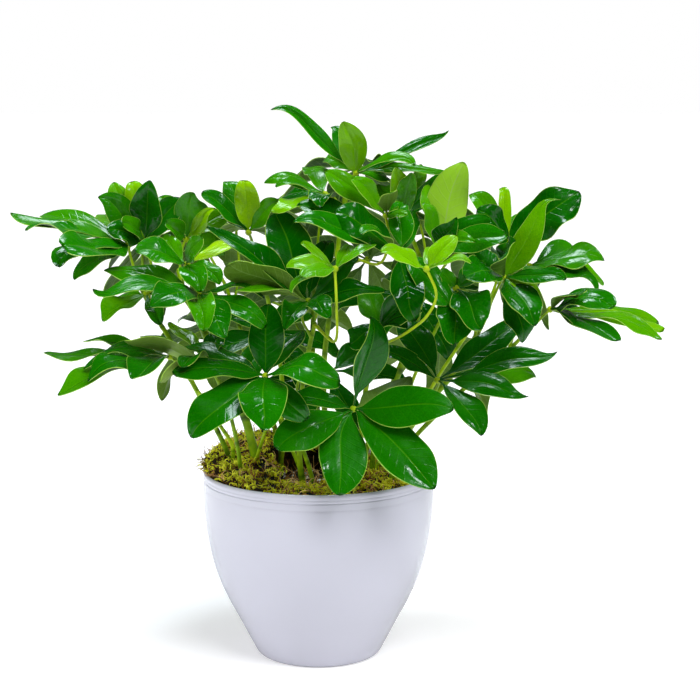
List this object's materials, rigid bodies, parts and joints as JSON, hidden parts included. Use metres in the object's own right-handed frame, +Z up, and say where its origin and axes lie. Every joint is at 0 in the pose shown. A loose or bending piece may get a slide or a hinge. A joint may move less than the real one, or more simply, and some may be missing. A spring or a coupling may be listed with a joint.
{
  "type": "potted dwarf umbrella plant",
  "caption": "Bushy dwarf umbrella plant with compound leaves on branching green stems, in a round tapered glossy white pot with soil and moss.",
  "frame": {"origin": "on the pot's axis, at its flat bottom", "axes": "+Z up, -Y towards the side that the picture shows, +X to the right as seen from there"},
  "size_m": [0.4575, 0.2897, 0.392],
  "materials": {
    "pot": "glossy white with a faint lavender tint",
    "soil": "damp, crumbly, matte",
    "moss": "dry, tufted, matte",
    "stem": "smooth, satin",
    "leaf": "waxy, glossy on top and matte below",
    "young_leaf": "waxy, satin"
  },
  "bodies": {
    "root": {"pot": "pot", "soil": "soil", "moss": "moss", "stem_left": "stem", "stem_left_thick": "stem", "stem_left_thin": "stem", "stem_crown_left": "stem", "stem_front": "stem", "stem_front_thin": "stem", "stem_middle": "stem", "stem_front_right": "stem", "stem_right_inner": "stem", "stem_right": "stem", "stem_far_right": "stem", "stem_back_left": "stem", "stem_back": "stem", "stem_back_right": "stem", "leaf_front_left": "leaf", "leaf_front": "leaf", "leaf_young_middle": "young_leaf", "leaf_young_right": "young_leaf", "leaf_left_elbow": "leaf", "leaf_left_middle": "leaf", "leaf_left_low": "leaf", "leaf_left_folded": "leaf", "leaf_middle": "leaf", "leaf_top_middle": "leaf", "leaf_young_top": "young_leaf", "leaf_right_middle": "leaf", "leaf_right_drooping": "leaf", "leaf_right": "leaf", "leaf_right_low": "leaf", "leaf_far_right": "leaf", "leaf_far_left": "leaf", "leaf_left_top": "leaf", "leaf_left_crown": "leaf", "leaf_left_small": "leaf", "leaf_crown_left": "leaf", "leaf_crown": "leaf", "leaf_top": "leaf", "leaf_top_right": "leaf", "leaf_right_top": "leaf", "leaf_right_back": "leaf", "leaf_middle_low": "leaf", "leaf_back_far_left": "leaf", "leaf_back_left": "leaf", "leaf_back_left_low": "leaf", "leaf_back_crown_left": "leaf", "leaf_back_crown": "leaf", "leaf_back_low": "leaf", "leaf_back_middle": "leaf", "leaf_back_crown_right": "leaf", "leaf_back_right": "leaf", "leaf_back_right_low": "leaf", "leaf_back_far_right": "leaf", "leaf_back_top": "leaf", "leaf_inner_left": "leaf", "leaf_inner": "leaf", "leaf_inner_right": "leaf"}
  },
  "joints": []
}
